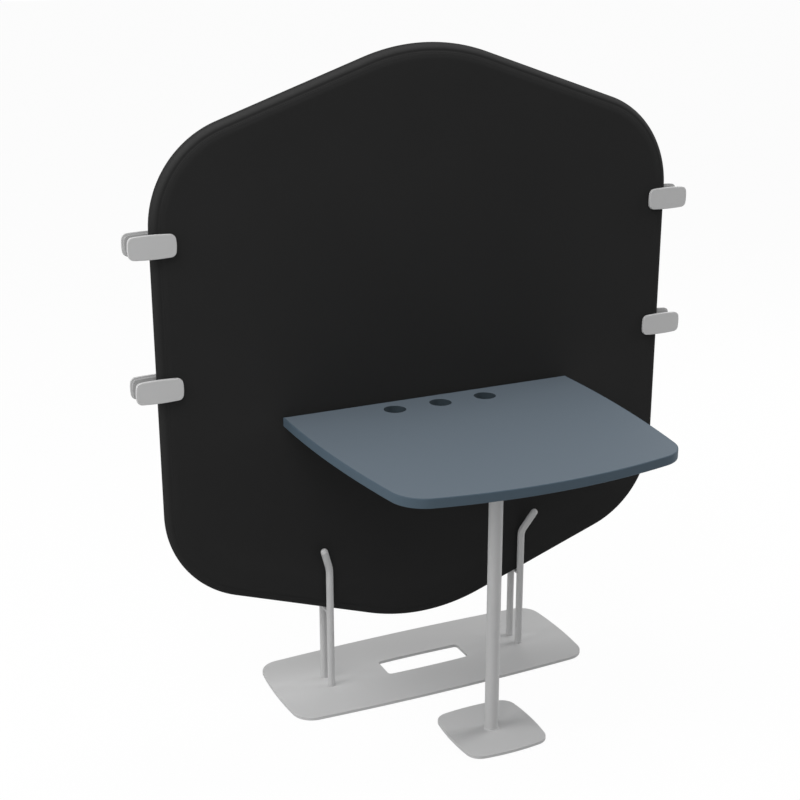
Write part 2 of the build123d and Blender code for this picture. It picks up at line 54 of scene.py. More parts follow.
Colour = tuple[float, float, float]
Triple = tuple[float, float, float]
Stretch = tuple[float, float]
Element = bmesh.types.BMVert | bmesh.types.BMEdge


def grey(value: float) -> Colour:
    """A neutral colour of one linear value."""
    return (value, value, value)


def shade(colour: Colour, level: float) -> Colour:
    """The colour made darker or lighter by a factor."""
    return tuple(part * level for part in colour)


def rgba(colour: Colour) -> tuple[float, float, float, float]:
    """The colour with a full alpha."""
    return (colour[0], colour[1], colour[2], 1.0)


class Face(Enum):
    """The two sides of the screen, by the sign of their Y direction."""

    FRONT = -1
    BACK = 1


class Coordinates(Enum):
    """What a finish reads its pattern from."""

    OBJECT = "Object"
    CLOTH = "UV"


class Nodes:
    """A thin wrapper that adds nodes to one node tree and links them."""

    def __init__(self, owner: bpy.types.Material | bpy.types.World, output: str) -> None:
        """Empty the owner's node tree and give it an output.

        Args:
            owner: the material or world.
            output: the output node's type, without its ShaderNode prefix.
        """
        owner.use_nodes = True
        self.tree = owner.node_tree
        self.tree.nodes.clear()
        self.output = self.node(output)

    def node(self, kind: str, links: dict[str, object] | None = None, **settings: object) -> bpy.types.Node:
        """Add a node.

        Args:
            kind: the node type's name, without its ShaderNode prefix.
            links: input name to an output socket that feeds it, or to a plain value.
            settings: attributes of the node itself.

        Returns:
            The new node.
        """
        made = self.tree.nodes.new("ShaderNode" + kind)
        for key, value in settings.items():
            setattr(made, key, value)
        for key, value in (links or {}).items():
            socket = made.inputs[int(key)] if key.isdigit() else made.inputs[key]
            if isinstance(value, bpy.types.NodeSocket):
                self.tree.links.new(value, socket)
            else:
                socket.default_value = value
        return made

    def math(self, operation: str, first: object, second: object = 0.0) -> bpy.types.NodeSocket:
        """Add a math node and return its output."""
        return self.node("Math", {"0": first, "1": second}, operation=operation).outputs[0]

    def noise(self, vector: bpy.types.NodeSocket, scale: float, detail: float = 2.0,
              roughness: float = 0.5) -> bpy.types.NodeSocket:
        """Add a noise texture and return its factor."""
        links = {"Vector": vector, "Scale": scale, "Detail": detail, "Roughness": roughness}
        return self.node("TexNoise", links).outputs["Fac"]

    def blend(self, factor: object, low: Colour | bpy.types.NodeSocket,
              high: Colour) -> bpy.types.NodeSocket:
        """Add a colour mix.

        Args:
            factor: a socket or a number, 0 for low and 1 for high.
            low: a colour, or a socket that gives one.
            high: a colour.

        Returns:
            The mixed colour.
        """
        mix = self.node("Mix", data_type="RGBA")
        start = low if isinstance(low, bpy.types.NodeSocket) else rgba(low)
        sockets = {"Factor": factor, "A": start, "B": rgba(high)}
        for socket in mix.inputs:
            if socket.enabled and socket.name in sockets:
                value = sockets[socket.name]
                if isinstance(value, bpy.types.NodeSocket):
                    self.tree.links.new(value, socket)
                else:
                    socket.default_value = value
        return next(socket for socket in mix.outputs if socket.enabled)

    def span(self, value: bpy.types.NodeSocket, low: float, high: float) -> bpy.types.NodeSocket:
        """Map a factor from 0..1 to low..high and return it."""
        return self.node("MapRange", {"Value": value, "To Min": low, "To Max": high}).outputs["Result"]

    def vary(self, value: bpy.types.NodeSocket, middle: float, spread: float) -> bpy.types.NodeSocket:
        """Map a factor from 0..1 to a number's spread below and above its middle."""
        return self.span(value, middle - spread, middle + spread)

    def drift(self, value: bpy.types.NodeSocket, colour: Colour, share: float) -> bpy.types.NodeSocket:
        """Let a colour turn darker and lighter by a share with a factor."""
        return self.blend(value, shade(colour, 1 - share), shade(colour, 1 + share))

    def bump(self, height: bpy.types.NodeSocket, strength: float, distance: float) -> bpy.types.NodeSocket:
        """Add a bump node and return its normal."""
        links = {"Height": height, "Strength": strength, "Distance": distance}
        return self.node("Bump", links).outputs["Normal"]

    def seen_directly(self) -> bpy.types.NodeSocket:
        """Tell the rays that show a surface from those that light the object.

        Returns:
            1 for camera, glossy and transmission rays, and 0 for all others.
        """
        rays = self.node("LightPath").outputs
        either = self.math("MAXIMUM", rays["Is Camera Ray"], rays["Is Glossy Ray"])
        return self.math("MAXIMUM", either, rays["Is Transmission Ray"])

    def close(self, shader: bpy.types.Node) -> None:
        """Link a shader node to the output."""
        self.tree.links.new(shader.outputs[0], self.output.inputs["Surface"])


class Shader(Nodes):
    """One material and its nodes."""

    def __init__(self, name: str) -> None:
        """Start an empty material.

        Args:
            name: the material's name.
        """
        self.material = bpy.data.materials.new(name)
        super().__init__(self.material, "OutputMaterial")

    def place(self, source: Coordinates) -> bpy.types.NodeSocket:
        """Return the coordinates that the pattern follows."""
        return self.node("TexCoord").outputs[source.value]

    def surface(self, links: dict[str, object]) -> bpy.types.Material:
        """Close the material with a Principled shader.

        Args:
            links: inputs of the shader, as in node.

        Returns:
            The finished material.
        """
        self.close(self.node("BsdfPrincipled", links))
        return self.material


@dataclass(frozen=True)
class WovenCloth:
    """Upholstery cloth in a close plain weave of two near shades, with a painted highlight on its upper
    shoulders.
    """

    name: str
    dark: Colour
    light: Colour
    thread: float = 0.0011
    wander: float = 0.0002
    wander_scale: float = 420.0
    melange_scale: float = 900.0
    melange_share: float = 0.7
    melange_relief: float = 0.5
    weave_floor: float = 0.5
    drift_scale: float = 3.0
    # Painted highlight: the pale colour that the roll's upward-facing shoulders blend to, and how strong
    # and patchy it is.
    shoulder_highlight: Colour = (0.060, 0.060, 0.060)
    shoulder_highlight_most: float = 2.1
    shoulder_highlight_patch_scale: float = 60.0
    shoulder_highlight_patchiness: float = 0.2
    source: Coordinates = Coordinates.CLOTH
    roughness: float = 0.88
    specular: float = 0.05
    relief: float = 0.35
    relief_height: float = 0.0004

    def build(self) -> bpy.types.Material:
        """Weave the cloth.

        Returns:
            Its material.
        """
        cloth = Shader(self.name)
        place = cloth.place(self.source)
        wander = cloth.noise(place, self.wander_scale, detail=1.0)
        sideways = {"X": cloth.span(wander, -self.wander, self.wander),
                    "Y": cloth.span(wander, self.wander, -self.wander)}
        push = cloth.node("CombineXYZ", sideways).outputs[0]
        pushed = cloth.node("VectorMath", {"0": place, "1": push}, operation="ADD").outputs[0]
        parts = cloth.node("SeparateXYZ", {"0": pushed})
        turns = math.pi / self.thread
        warp = cloth.math("SINE", cloth.math("MULTIPLY", parts.outputs["X"], turns))
        weft = cloth.math("SINE", cloth.math("MULTIPLY", parts.outputs["Y"], turns))
        weave = cloth.span(cloth.math("MULTIPLY", warp, weft), self.weave_floor, 1.0)
        melange = cloth.noise(place, self.melange_scale, roughness=0.7)
        drift = cloth.noise(place, self.drift_scale)
        tone = cloth.math("ADD", cloth.math("MULTIPLY", melange, self.melange_share),
                          cloth.math("MULTIPLY", drift, 1 - self.melange_share))
        height = cloth.math("ADD", weave, cloth.math("MULTIPLY", melange, self.melange_relief))
        # Painted highlight: the cloth turns pale where its normal faces up and towards the front or back,
        # in place of light from above.
        facing = cloth.node("SeparateXYZ", {"0": cloth.node("NewGeometry").outputs["Normal"]}).outputs
        aside = cloth.math("MULTIPLY", facing["Y"], facing["Y"])
        painted_highlight_mask = cloth.math("MULTIPLY", cloth.math("MAXIMUM", facing["Z"], 0.0), aside)
        patches = cloth.noise(place, self.shoulder_highlight_patch_scale, detail=3.0)
        highlight_strength = cloth.span(patches, self.shoulder_highlight_most * (1 - self.shoulder_highlight_patchiness),
                            self.shoulder_highlight_most * (1 + self.shoulder_highlight_patchiness))
        return cloth.surface({
            "Base Color": cloth.blend(cloth.math("MULTIPLY", painted_highlight_mask, highlight_strength),
                                      cloth.blend(tone, self.dark, self.light), self.shoulder_highlight),
            "Roughness": self.roughness,
            "Specular IOR Level": self.specular,
            "Normal": cloth.bump(height, self.relief, self.relief_height),
        })


@dataclass(frozen=True)
class PowderCoat:
    """Baked powder paint: a fine orange peel with a very slight drift of tone."""

    name: str
    colour: Colour
    drift: float = 0.02
    cloud_scale: float = 6.0
    peel_scale: float = 900.0
    peel: float = 0.08
    peel_height: float = 0.0003
    roughness: float = 0.55
    roughness_spread: float = 0.05
    specular: float = 0.25

    def build(self) -> bpy.types.Material:
        """Bake the paint.

        Returns:
            Its material.
        """
        paint = Shader(self.name)
        place = paint.place(Coordinates.OBJECT)
        peel = paint.noise(place, self.peel_scale, roughness=0.6)
        cloud = paint.noise(place, self.cloud_scale, detail=3.0)
        return paint.surface({
            "Base Color": paint.drift(cloud, self.colour, self.drift),
            "Roughness": paint.vary(peel, self.roughness, self.roughness_spread),
            "Specular IOR Level": self.specular,
            "Normal": paint.bump(peel, self.peel, self.peel_height),
        })


@dataclass(frozen=True)
class Laminate:
    """A matt melamine surface with a fine pearl texture and faint handling marks."""

    name: str
    colour: Colour
    drift: float = 0.035
    wipe_scale: float = 2.2
    wipe_share: float = 0.5
    grain_scale: float = 700.0
    pearl: float = 0.06
    pearl_height: float = 0.0002
    roughness: float = 0.58
    roughness_spread: float = 0.06
    specular: float = 0.12

    def build(self) -> bpy.types.Material:
        """Press the laminate.

        Returns:
            Its material.
        """
        sheet = Shader(self.name)
        place = sheet.place(Coordinates.OBJECT)
        pearl = sheet.noise(place, self.grain_scale, detail=3.0, roughness=0.65)
        wipe = sheet.noise(place, self.wipe_scale, detail=4.0, roughness=0.6)
        tone = sheet.math("ADD", sheet.math("MULTIPLY", pearl, 1 - self.wipe_share),
                          sheet.math("MULTIPLY", wipe, self.wipe_share))
        return sheet.surface({
            "Base Color": sheet.drift(tone, self.colour, self.drift),
            "Roughness": sheet.vary(wipe, self.roughness, self.roughness_spread),
            "Specular IOR Level": self.specular,
            "Normal": sheet.bump(pearl, self.pearl, self.pearl_height),
        })


@dataclass(frozen=True)
class ZincPlate:
    """Bright zinc plate on screws, bushes and sleeves, with a fine brushed grain."""

    name: str
    colour: Colour = (0.62, 0.62, 0.60)
    bloom: float = 0.9
    bloom_scale: float = 180.0
    grain_scale: float = 2500.0
    relief: float = 0.1
    relief_height: float = 0.0001
    roughness: float = 0.34
    roughness_spread: float = 0.08

    def build(self) -> bpy.types.Material:
        """Plate the metal.

        Returns:
            Its material.
        """
        zinc = Shader(self.name)
        place = zinc.place(Coordinates.OBJECT)
        grain = zinc.noise(place, self.grain_scale)
        bloom = zinc.noise(place, self.bloom_scale, detail=3.0)
        return zinc.surface({
            "Base Color": zinc.blend(bloom, shade(self.colour, self.bloom), self.colour),
            "Metallic": 1.0,
            "Roughness": zinc.vary(grain, self.roughness, self.roughness_spread),
            "Normal": zinc.bump(grain, self.relief, self.relief_height),
        })


@dataclass(frozen=True)
class Grained:
    """A plain matt stuff with a fine grain: rubber, felt, thread, board and plywood."""

    name: str
    low: Colour
    high: Colour
    scale: float
    stretch: Triple = (1.0, 1.0, 1.0)
    roughness: float = 0.85
    specular: float = 0.25
    relief: float = 0.3
    relief_height: float = 0.0003

    def build(self) -> bpy.types.Material:
        """Make the stuff.

        Returns:
            Its material.
        """
        stuff = Shader(self.name)
        place = stuff.place(Coordinates.OBJECT)
        drawn = stuff.node("Mapping", {"Vector": place, "Scale": self.stretch}).outputs[0]
        grain = stuff.noise(drawn, self.scale, detail=4.0, roughness=0.65)
        return stuff.surface({
            "Base Color": stuff.blend(grain, self.low, self.high),
            "Roughness": self.roughness,
            "Specular IOR Level": self.specular,
            "Normal": stuff.bump(grain, self.relief, self.relief_height),
        })


Finish = WovenCloth | PowderCoat | Laminate | ZincPlate | Grained

SCREEN_CLOTH = WovenCloth("screen_cloth", dark=grey(0.0176), light=grey(0.0324))
SEAM_THREAD = Grained("seam_thread", grey(0.014), grey(0.024), 2400.0, roughness=0.8, specular=0.05)
PAINTED_STEEL = PowderCoat("painted_steel", grey(0.580))
DESK_LAMINATE = Laminate("desk_laminate", (0.133, 0.165, 0.197))
EDGE_BAND = Laminate("edge_band", (0.074, 0.106, 0.136), grain_scale=900.0)
GREY_RUBBER = Grained("grey_rubber", grey(0.43), grey(0.52), 900.0, roughness=0.7)
# Painted shade: the core shows only inside the cable holes, so its colour is the edge band's blue-grey
# darkened to about a third for the shade in them.
HOLE_SHADED_BOARD = Grained("board_with_painted_hole_shade", (0.020, 0.030, 0.038), (0.027, 0.040, 0.050), 500.0)
ZINC = ZincPlate("zinc_plate")
RUBBER = Grained("black_rubber", grey(0.016), grey(0.03), 900.0, roughness=0.8)
FELT = Grained("felt_infill", grey(0.07), grey(0.13), 700.0, roughness=0.95)
PLYWOOD = Grained("plywood", (0.45, 0.31, 0.18), (0.62, 0.46, 0.29), 60.0, (1.0, 1.0, 12.0), 0.7)


class Paintbox:
    """Builds each finish once and gives it to the CAD nodes and the new pieces."""

    def __init__(self) -> None:
        """Start with no material built."""
        self.built: dict[str, bpy.types.Material] = {}

    def material(self, finish: Finish) -> bpy.types.Material:
        """Build a finish at its first use.

        Args:
            finish: the finish.

        Returns:
            Its material.
        """
        if finish.name not in self.built:
            self.built[finish.name] = finish.build()
        return self.built[finish.name]

    def dress(self, piece: bpy.types.Object, finish: Finish) -> None:
        """Make a finish the only material of a piece."""
        piece.data.materials.clear()
        piece.data.materials.append(self.material(finish))

    def dress_nodes(self, names: Iterable[str], finish: Finish, slot: str) -> None:
        """Finish several CAD nodes alike.

        Args:
            names: the CAD nodes.
            finish: the finish that they get.
            slot: the record's material slot; not used.
        """
        for name in names:
            self.dress(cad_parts[name], finish)
            log.info("dressed %s with %s", name, finish.name)


def verts_of(geometry: Iterable[Element]) -> list[bmesh.types.BMVert]:
    """The vertices among a bmesh operator's results."""
    return [element for element in geometry if isinstance(element, bmesh.types.BMVert)]


def edges_of(geometry: Iterable[Element]) -> list[bmesh.types.BMEdge]:
    """The edges among a bmesh operator's results."""
    return [element for element in geometry if isinstance(element, bmesh.types.BMEdge)]


def left_of(way: Vector) -> Vector:
    """The direction a quarter turn to the left of a flat direction."""
    return Vector((-way.y, way.x))


def new_piece(name: str, mesh: bmesh.types.BMesh) -> bpy.types.Object:
    """Turn a bmesh into a named object at the origin.

    Args:
        name: the piece's name.
        mesh: its shape in the shared frame, freed here.

    Returns:
        The linked object.
    """
    data = bpy.data.meshes.new(name)
    mesh.to_mesh(data)
    mesh.free()
    piece = bpy.data.objects.new(name, data)
    bpy.context.scene.collection.objects.link(piece)
    return piece


def smooth(piece: bpy.types.Object) -> None:
    """Shade every face of a piece smooth."""
    piece.data.polygons.foreach_set("use_smooth", [True] * len(piece.data.polygons))


@dataclass(frozen=True)
class Bend:
    """One rounded corner of the screen's outline, in X and Z, and the straight run that follows it."""

    way_in: Vector
    way_out: Vector
    start: Vector
    centre: Vector
    radius: float
    turn: float
    run_start: Vector
    run_length: float


@dataclass(frozen=True)
class EdgeSection:
    """The section of the screen's edge, where X is the inset and Y the depth.

    The roll and the crown are circles that meet in the seam's crease. Each turns up to it by an
    angle: the roll from the outermost point, and the crown from the flat face.
    """

    roll: Vector
    crown: Vector
    crease: Vector
    roll_turn: float
    crown_turn: float


@dataclass(frozen=True)
class Upholstery:
    """How the cloth behaves while pressure fills it over its foam, and for how long it does."""

    quality: int = 6
    mass: float = 0.3
    stretch: float = 25.0
    shear: float = 8.0
    bending: float = 1.5
    pressure: float = 4.0
    frames: int = 20

    def apply(self, settings: bpy.types.ClothSettings) -> None:
        """Give the values to a cloth modifier, and take the cloth's weight away.

        Args:
            settings: the modifier's settings.
        """
        settings.quality = self.quality
        settings.mass = self.mass
        settings.tension_stiffness = self.stretch
        settings.compression_stiffness = self.stretch
        settings.shear_stiffness = self.shear
        settings.bending_stiffness = self.bending
        settings.use_pressure = True
        settings.uniform_pressure_force = self.pressure
        settings.effector_weights.gravity = 0


@dataclass
class PaddedScreen:
    """The upholstered screen: two padded faces, a rolled edge and the sewn creases between them."""

    paints: Paintbox
    cloth: Upholstery = Upholstery()

    # The outline, as wide and as high as its sharp corners.
    width: float = 1.334
    side_height: float = 1.014
    peak_rise: float = 0.2325
    side_radius: float = 0.244
    peak_radius: float = 0.472
    lower_side_z: float = 0.3555

    # The edge's section and how finely it is swept.
    half_thickness: float = 0.018
    roll_radius: float = 0.016
    roll_steps: int = 22
    crown_radius: float = 0.0489
    crown_inset: float = 0.032
    crown_steps: int = 6
    column: float = 0.008
    fine_column: float = 0.0025
    least_bend_steps: int = 4
    merge_distance: float = 1e-5
    ring_steps: tuple[float, ...] = (0.004, 0.005, 0.006, 0.008, 0.010, 0.010, 0.012, 0.014, 0.016, 0.018,
                                     0.022, 0.030, 0.045, 0.070, 0.110, 0.140)

    # The rods' line and the dents that they press. The flare is outwards, off the screen and up.
    rod_x: float = 0.2685
    rod_off: float = 0.024
    rod_radius: float = 0.009
    rod_gap: float = 0.0004
    rod_bend_radius: float = 0.050
    rod_bend_z: float = 0.3295
    rod_flare: Triple = (0.0225, 0.025, 0.0592)
    dent_spread: float = 0.0085
    dent_reach: Stretch = (0.022, 0.095)

    # The stitches.
    stitch_pitch: float = 0.0062
    stitch_length: float = 0.0048
    stitch_inset: float = 0.0215
    thread_radius: float = 0.00045
    stitch_sides: int = 8
    stitch_rings: int = 6
    stitch_batch: int = 24

    # How far the cloth may swell, and where the frame, the seam and the glue hold it.
    slack: float = 0.0006
    swell: float = 0.0006
    frame_hold: float = 0.006
    seam_hold: float = 0.0012
    glue_start: float = 0.05
    glue_blend: float = 0.07
    relax_rounds: int = 12

    mid_y: float = field(init=False)
    section_length: float = field(default=0.0, init=False)
    perimeter: float = field(default=0.0, init=False)
    piece: bpy.types.Object | None = field(default=None, init=False)

    def __post_init__(self) -> None:
        """Take the mid plane, where the two covers meet, from the CAD."""
        self.mid_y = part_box("front_cover")[1].y

    @property
    def slope(self) -> float:
        """The angle of the four sloping edges above the level."""
        return math.atan2(self.peak_rise, self.width / 2)

    def corners(self) -> list[tuple[Vector, float]]:
        """Place the outline's corners.

        Returns:
            The six sharp corners in X and Z with their radii, from the lowest one towards +X.
        """
        half = self.width / 2
        low, high = self.lower_side_z, self.lower_side_z + self.side_height
        places = [(0, low - self.peak_rise), (half, low), (half, high),
                  (0, high + self.peak_rise), (-half, high), (-half, low)]
        radii = [self.peak_radius, self.side_radius, self.side_radius] * 2
        return [(Vector(place), radius) for place, radius in zip(places, radii)]

    def bends(self) -> list[Bend]:
        """Round the outline's corners.

        Returns:
            The rounded corners, each with the straight run after it, in the order of the corners.
        """
        corners = self.corners()
        count = len(corners)
        ways = [(corners[(i + 1) % count][0] - corners[i][0]).normalized() for i in range(count)]
        turns = [ways[i - 1].angle(ways[i]) for i in range(count)]
        tangents = [corners[i][1] * math.tan(turns[i] / 2) for i in range(count)]
        bends = []
        for i, (corner, radius) in enumerate(corners):
            after = (i + 1) % count
            start = corner - ways[i - 1] * tangents[i]
            length = (corners[after][0] - corner).length - tangents[i] - tangents[after]
            bends.append(Bend(ways[i - 1], ways[i], start, start + left_of(ways[i - 1]) * radius, radius,
                              turns[i], corner + ways[i] * tangents[i], length))
        return bends

    def edge(self) -> EdgeSection:
        """Work out the edge's section from its two circles.

        Returns:
            The section.
        """
        roll = Vector((self.roll_radius, 0))
        crown = Vector((self.crown_inset, self.half_thickness - self.crown_radius))
        apart = (crown - roll).length
        along = (self.roll_radius ** 2 - self.crown_radius ** 2 + apart ** 2) / (2 * apart)
        off = math.sqrt(self.roll_radius ** 2 - along ** 2)
        way = (crown - roll) / apart
        crease = roll + way * along + left_of(way) * off
        roll_turn = math.pi - math.atan2(crease.y, crease.x - roll.x)
        crown_turn = math.atan2(crease.y - crown.y, crease.x - crown.x) - math.pi / 2
        return EdgeSection(roll, crown, crease, roll_turn, crown_turn)

    def section(self, mesh: bmesh.types.BMesh) -> list[Element]:
        """Spin the edge's section, from the front face round the roll to the back face.

        Args:
            mesh: an empty bmesh.

        Returns:
            The section's vertices and edges.
        """
        edge = self.edge()
        geometry: list[Element] = [mesh.verts.new((edge.crown.x, -self.half_thickness, 0))]
        legs = [((edge.crown.x, -edge.crown.y, 0), edge.crown_turn, self.crown_steps),
                ((edge.roll.x, 0, 0), 2 * edge.roll_turn, self.roll_steps),
                ((edge.crown.x, edge.crown.y, 0), edge.crown_turn, self.crown_steps)]
        for centre, turn, steps in legs:
            end = bmesh.ops.spin(mesh, geom=geometry, cent=centre, axis=(0, 0, -1), angle=turn,
                                 steps=steps, use_merge=False, use_duplicate=False)
            geometry = verts_of(end["geom_last"])
        return list(mesh.verts) + list(mesh.edges)

    def stations(self, length: float, fine: Stretch | None) -> list[float]:
        """Divide a straight run into steps.

        Args:
            length: the run's length.
            fine: the stretch along the run that gets fine steps, if any.

        Returns:
            The step lengths, in order.
        """
        marks = [(0.0, length, self.column)]
        if fine:
            low, high = fine
            marks = [(0.0, low, self.column), (low, high, self.fine_column), (high, length, self.column)]
        steps = []
        for low, high, size in marks:
            count = max(1, round((high - low) / size))
            steps += [(high - low) / count] * count
        return steps

    def shell(self) -> bmesh.types.BMesh:
        """Sweep the section round the outline and close both faces.

        Returns:
            The closed shell, with its cloth map, in the shared frame.
        """
        mesh = bmesh.new()
        along = mesh.verts.layers.float.new("along")
        across = mesh.verts.layers.float.new("across")
        chain = self.section(mesh)
        ordered = sorted(verts_of(chain), key=lambda vert: vert.index)
        walked = 0.0
        for index, vert in enumerate(ordered):
            walked += (vert.co - ordered[index - 1].co).length if index else 0.0
            vert[across] = walked
        self.section_length = walked
        bends = self.bends()
        start, way = bends[0].start, bends[0].way_in
        inward = left_of(way)
        to_start = Matrix(((inward.x, 0, way.x, start.x), (0, 1, 0, self.mid_y),
                           (inward.y, 0, way.y, start.y), (0, 0, 0, 1)))
        bmesh.ops.transform(mesh, matrix=to_start, verts=mesh.verts)
        for bend in bends:
            chain = self.sweep_bend(mesh, chain, bend, along)
            chain = self.sweep_run(mesh, chain, bend, along)
        bmesh.ops.remove_doubles(mesh, verts=mesh.verts, dist=self.merge_distance)
        self.close_faces(mesh)
        bmesh.ops.recalc_face_normals(mesh, faces=mesh.faces)
        self.map_cloth(mesh, along, across)
        return mesh

    def advance(self, verts: Iterable[bmesh.types.BMVert], step: float, along: object) -> None:
        """Note how far round the outline the newest section lies.

        Args:
            verts: the section's vertices.
            step: how far it lies past the one before.
            along: the layer that holds the distance.
        """
        self.perimeter += step
        for vert in verts:
            vert[along] = self.perimeter

    def sweep_bend(self, mesh: bmesh.types.BMesh, chain: list[Element], bend: Bend,
                   along: object) -> list[Element]:
        """Spin the section round one rounded corner.

        Args:
            mesh: the shell so far.
            chain: the last section's vertices and edges.
            bend: the corner.
            along: the layer that holds the distance round the outline.

        Returns:
            The new last section.
        """
        steps = max(self.least_bend_steps, round(bend.radius * bend.turn / self.column))
        for _ in range(steps):
            made = bmesh.ops.spin(mesh, geom=chain, cent=(bend.centre.x, self.mid_y, bend.centre.y),
                                  axis=(0, -1, 0), angle=bend.turn / steps, steps=1, use_merge=False,
                                  use_duplicate=False)
            chain = made["geom_last"]
            self.advance(verts_of(chain), bend.radius * bend.turn / steps, along)
        return chain

    def sweep_run(self, mesh: bmesh.types.BMesh, chain: list[Element], bend: Bend,
                  along: object) -> list[Element]:
        """Draw the section along the straight run after a rounded corner.

        Args:
            mesh: the shell so far.
            chain: the last section's vertices and edges.
            bend: the corner.
            along: the layer that holds the distance round the outline.

        Returns:
            The new last section.
        """
        fine = self.fine_stretch(bend.run_start, bend.way_out, bend.run_length)
        for step in self.stations(bend.run_length, fine):
            made = bmesh.ops.extrude_edge_only(mesh, edges=edges_of(chain))["geom"]
            verts = verts_of(made)
            chain = verts + [edge for edge in edges_of(made) if all(vert in verts for vert in edge.verts)]
            bmesh.ops.translate(mesh, verts=verts, vec=(bend.way_out.x * step, 0, bend.way_out.y * step))
            self.advance(verts, step, along)
        return chain

    def fine_stretch(self, start: Vector, way: Vector, length: float) -> Stretch | None:
        """Find where a run's columns have to be fine for the rods' dents.

        Args:
            start: the run's first point in X and Z.
            way: its direction.
            length: its length.

        Returns:
            The stretch along the run, or None where no rod crosses it.
        """
        end = start + way * length
        if max(start.y, end.y) > self.lower_side_z:
            return None
        before, after = self.dent_reach
        ends = (self.rod_x - before, self.rod_x + after)
        places = sorted(abs(x - abs(start.x)) / abs(way.x) for x in ends)
        return places[0], places[1]

    def close_faces(self, mesh: bmesh.types.BMesh) -> None:
        """Fill both faces with rings that draw in towards the middle.

        Args:
            mesh: the swept edge, open on both faces.
        """
        middle = Vector((0, self.mid_y, self.lower_side_z + self.side_height / 2))
        reach = self.width / 2 - self.crown_inset
        for face in Face:
            ring = [edge for edge in mesh.edges
                    if edge.is_boundary and (edge.verts[0].co.y - self.mid_y) * face.value > 0]
            drawn = 0.0
            for step in self.ring_steps:
                made = bmesh.ops.extrude_edge_only(mesh, edges=ring)["geom"]
                verts = verts_of(made)
                kept = set(verts)
                ring = [edge for edge in edges_of(made) if all(vert in kept for vert in edge.verts)]
                share = (reach - drawn - step) / (reach - drawn)
                drawn += step
                bmesh.ops.scale(mesh, verts=verts, vec=(share, 1, share), space=Matrix.Translation(-middle))
            verts = verts_of(bmesh.ops.extrude_edge_only(mesh, edges=ring)["geom"])
            centre = Vector((middle.x, verts[0].co.y, middle.z))
            bmesh.ops.pointmerge(mesh, verts=verts, merge_co=centre)

    def map_cloth(self, mesh: bmesh.types.BMesh, along: object, across: object) -> None:
        """Lay the cloth's threads along the edge on the roll and upright on the faces.

        Args:
            mesh: the closed shell.
            along: the layer that holds how far round the outline a vertex lies.
            across: the layer that holds how far round the section it lies.
        """
        crown_length = self.crown_radius * self.edge().crown_turn
        cloth = mesh.loops.layers.uv.new("cloth")
        for face in mesh.faces:
            mean = sum(vert[across] for vert in face.verts) / len(face.verts)
            on_roll = crown_length < mean < self.section_length - crown_length
            furthest = max(vert[along] for vert in face.verts)
            for loop in face.loops:
                vert = loop.vert
                place = vert[along]
                if furthest - place > self.perimeter / 2:
                    place += self.perimeter
                loop[cloth].uv = (place, vert[across]) if on_roll else (vert.co.x, vert.co.z)

    def rod_lean(self, z: float) -> float:
        """Work out how far a rod has bent away from the upright.

        Args:
            z: the height.

        Returns:
            The distance, along the way in which the rod flares.
        """
        outwards, off, rise = self.rod_flare
        turn = math.atan(math.hypot(outwards, off) / rise)
        start = self.rod_bend_z - self.rod_bend_radius * math.tan(turn / 2)
        bend = min(turn, math.asin(min(1.0, max(0.0, (z - start) / self.rod_bend_radius))))
        straight = max(0.0, z - start - self.rod_bend_radius * math.sin(turn))
        return self.rod_bend_radius * (1 - math.cos(bend)) + straight * math.tan(bend)

    def room(self, point: Vector, slack: float) -> float:
        """Work out the room that the screen's thickness and the rods' dents leave.

        Args:
            point: the place on the screen.
            slack: how much smaller than its space the cloth is kept.

        Returns:
            The furthest that the cloth may stand from the mid plane there.
        """
        outwards, off, _ = self.rod_flare
        lean = self.rod_lean(point.z)
        share = math.hypot(outwards, off)
        centre = self.rod_x + lean * outwards / share
        depth = self.half_thickness - (self.rod_off - self.rod_radius - self.rod_gap)
        depth = max(0.0, depth - lean * off / share)
        spread = (abs(point.x) - centre) / self.dent_spread
        return self.half_thickness - slack - depth * math.exp(-spread * spread)

    def press(self, piece: bpy.types.Object, slack: float) -> None:
        """Hold every vertex inside the screen's thickness and the rods' dents.

        Args:
            piece: the shell.
            slack: how much smaller than its space it is kept.
        """
        for vert in piece.data.vertices:
            off = vert.co.y - self.mid_y
            most = self.room(vert.co, slack)
            if abs(off) > most:
                vert.co.y = self.mid_y + math.copysign(most, off)

    def inset_of(self, point: Vector) -> float:
        """Measure how far a point lies inside the screen's outline, as seen from the front.

        Args:
            point: the point.

        Returns:
            Its distance from the nearest side or rounded corner.
        """
        x = abs(point.x)
        half_height = self.side_height / 2
        z = abs(point.z - self.lower_side_z - half_height)
        side = self.width / 2 - x
        top = (half_height + self.peak_rise - z) * math.cos(self.slope) - x * math.sin(self.slope)
        inset = min(side, top)
        side_turn = math.pi / 2 - self.slope
        side_way = Vector((-math.cos(side_turn / 2), -math.sin(side_turn / 2)))
        for radius, turn, corner, bisector in (
            (self.side_radius, side_turn, Vector((self.width / 2, half_height)), side_way),
            (self.peak_radius, 2 * self.slope, Vector((0, half_height + self.peak_rise)), Vector((0, -1))),
        ):
            centre = corner + bisector * (radius / math.cos(turn / 2))
            away = Vector((x, z)) - centre
            if away.length and away.angle(-bisector) < turn / 2:
                inset = radius - away.length
        return inset

    def hold(self, piece: bpy.types.Object) -> bpy.types.VertexGroup:
        """Pin the seams, the frame's edge and the glued middle of the faces.

        Args:
            piece: the shell.

        Returns:
            The vertex group, from 0 where the cloth is free to 1 where it can't move.
        """
        held = piece.vertex_groups.new(name="held")
        crease = self.edge().crease
        for vert in piece.data.vertices:
            inset = self.inset_of(vert.co)
            if abs(inset - crease.x) < self.seam_hold or inset < self.frame_hold:
                weight = 1.0
            else:
                weight = min(1.0, max(0.0, (inset - self.glue_start) / self.glue_blend))
            held.add([vert.index], weight, "REPLACE")
        return held

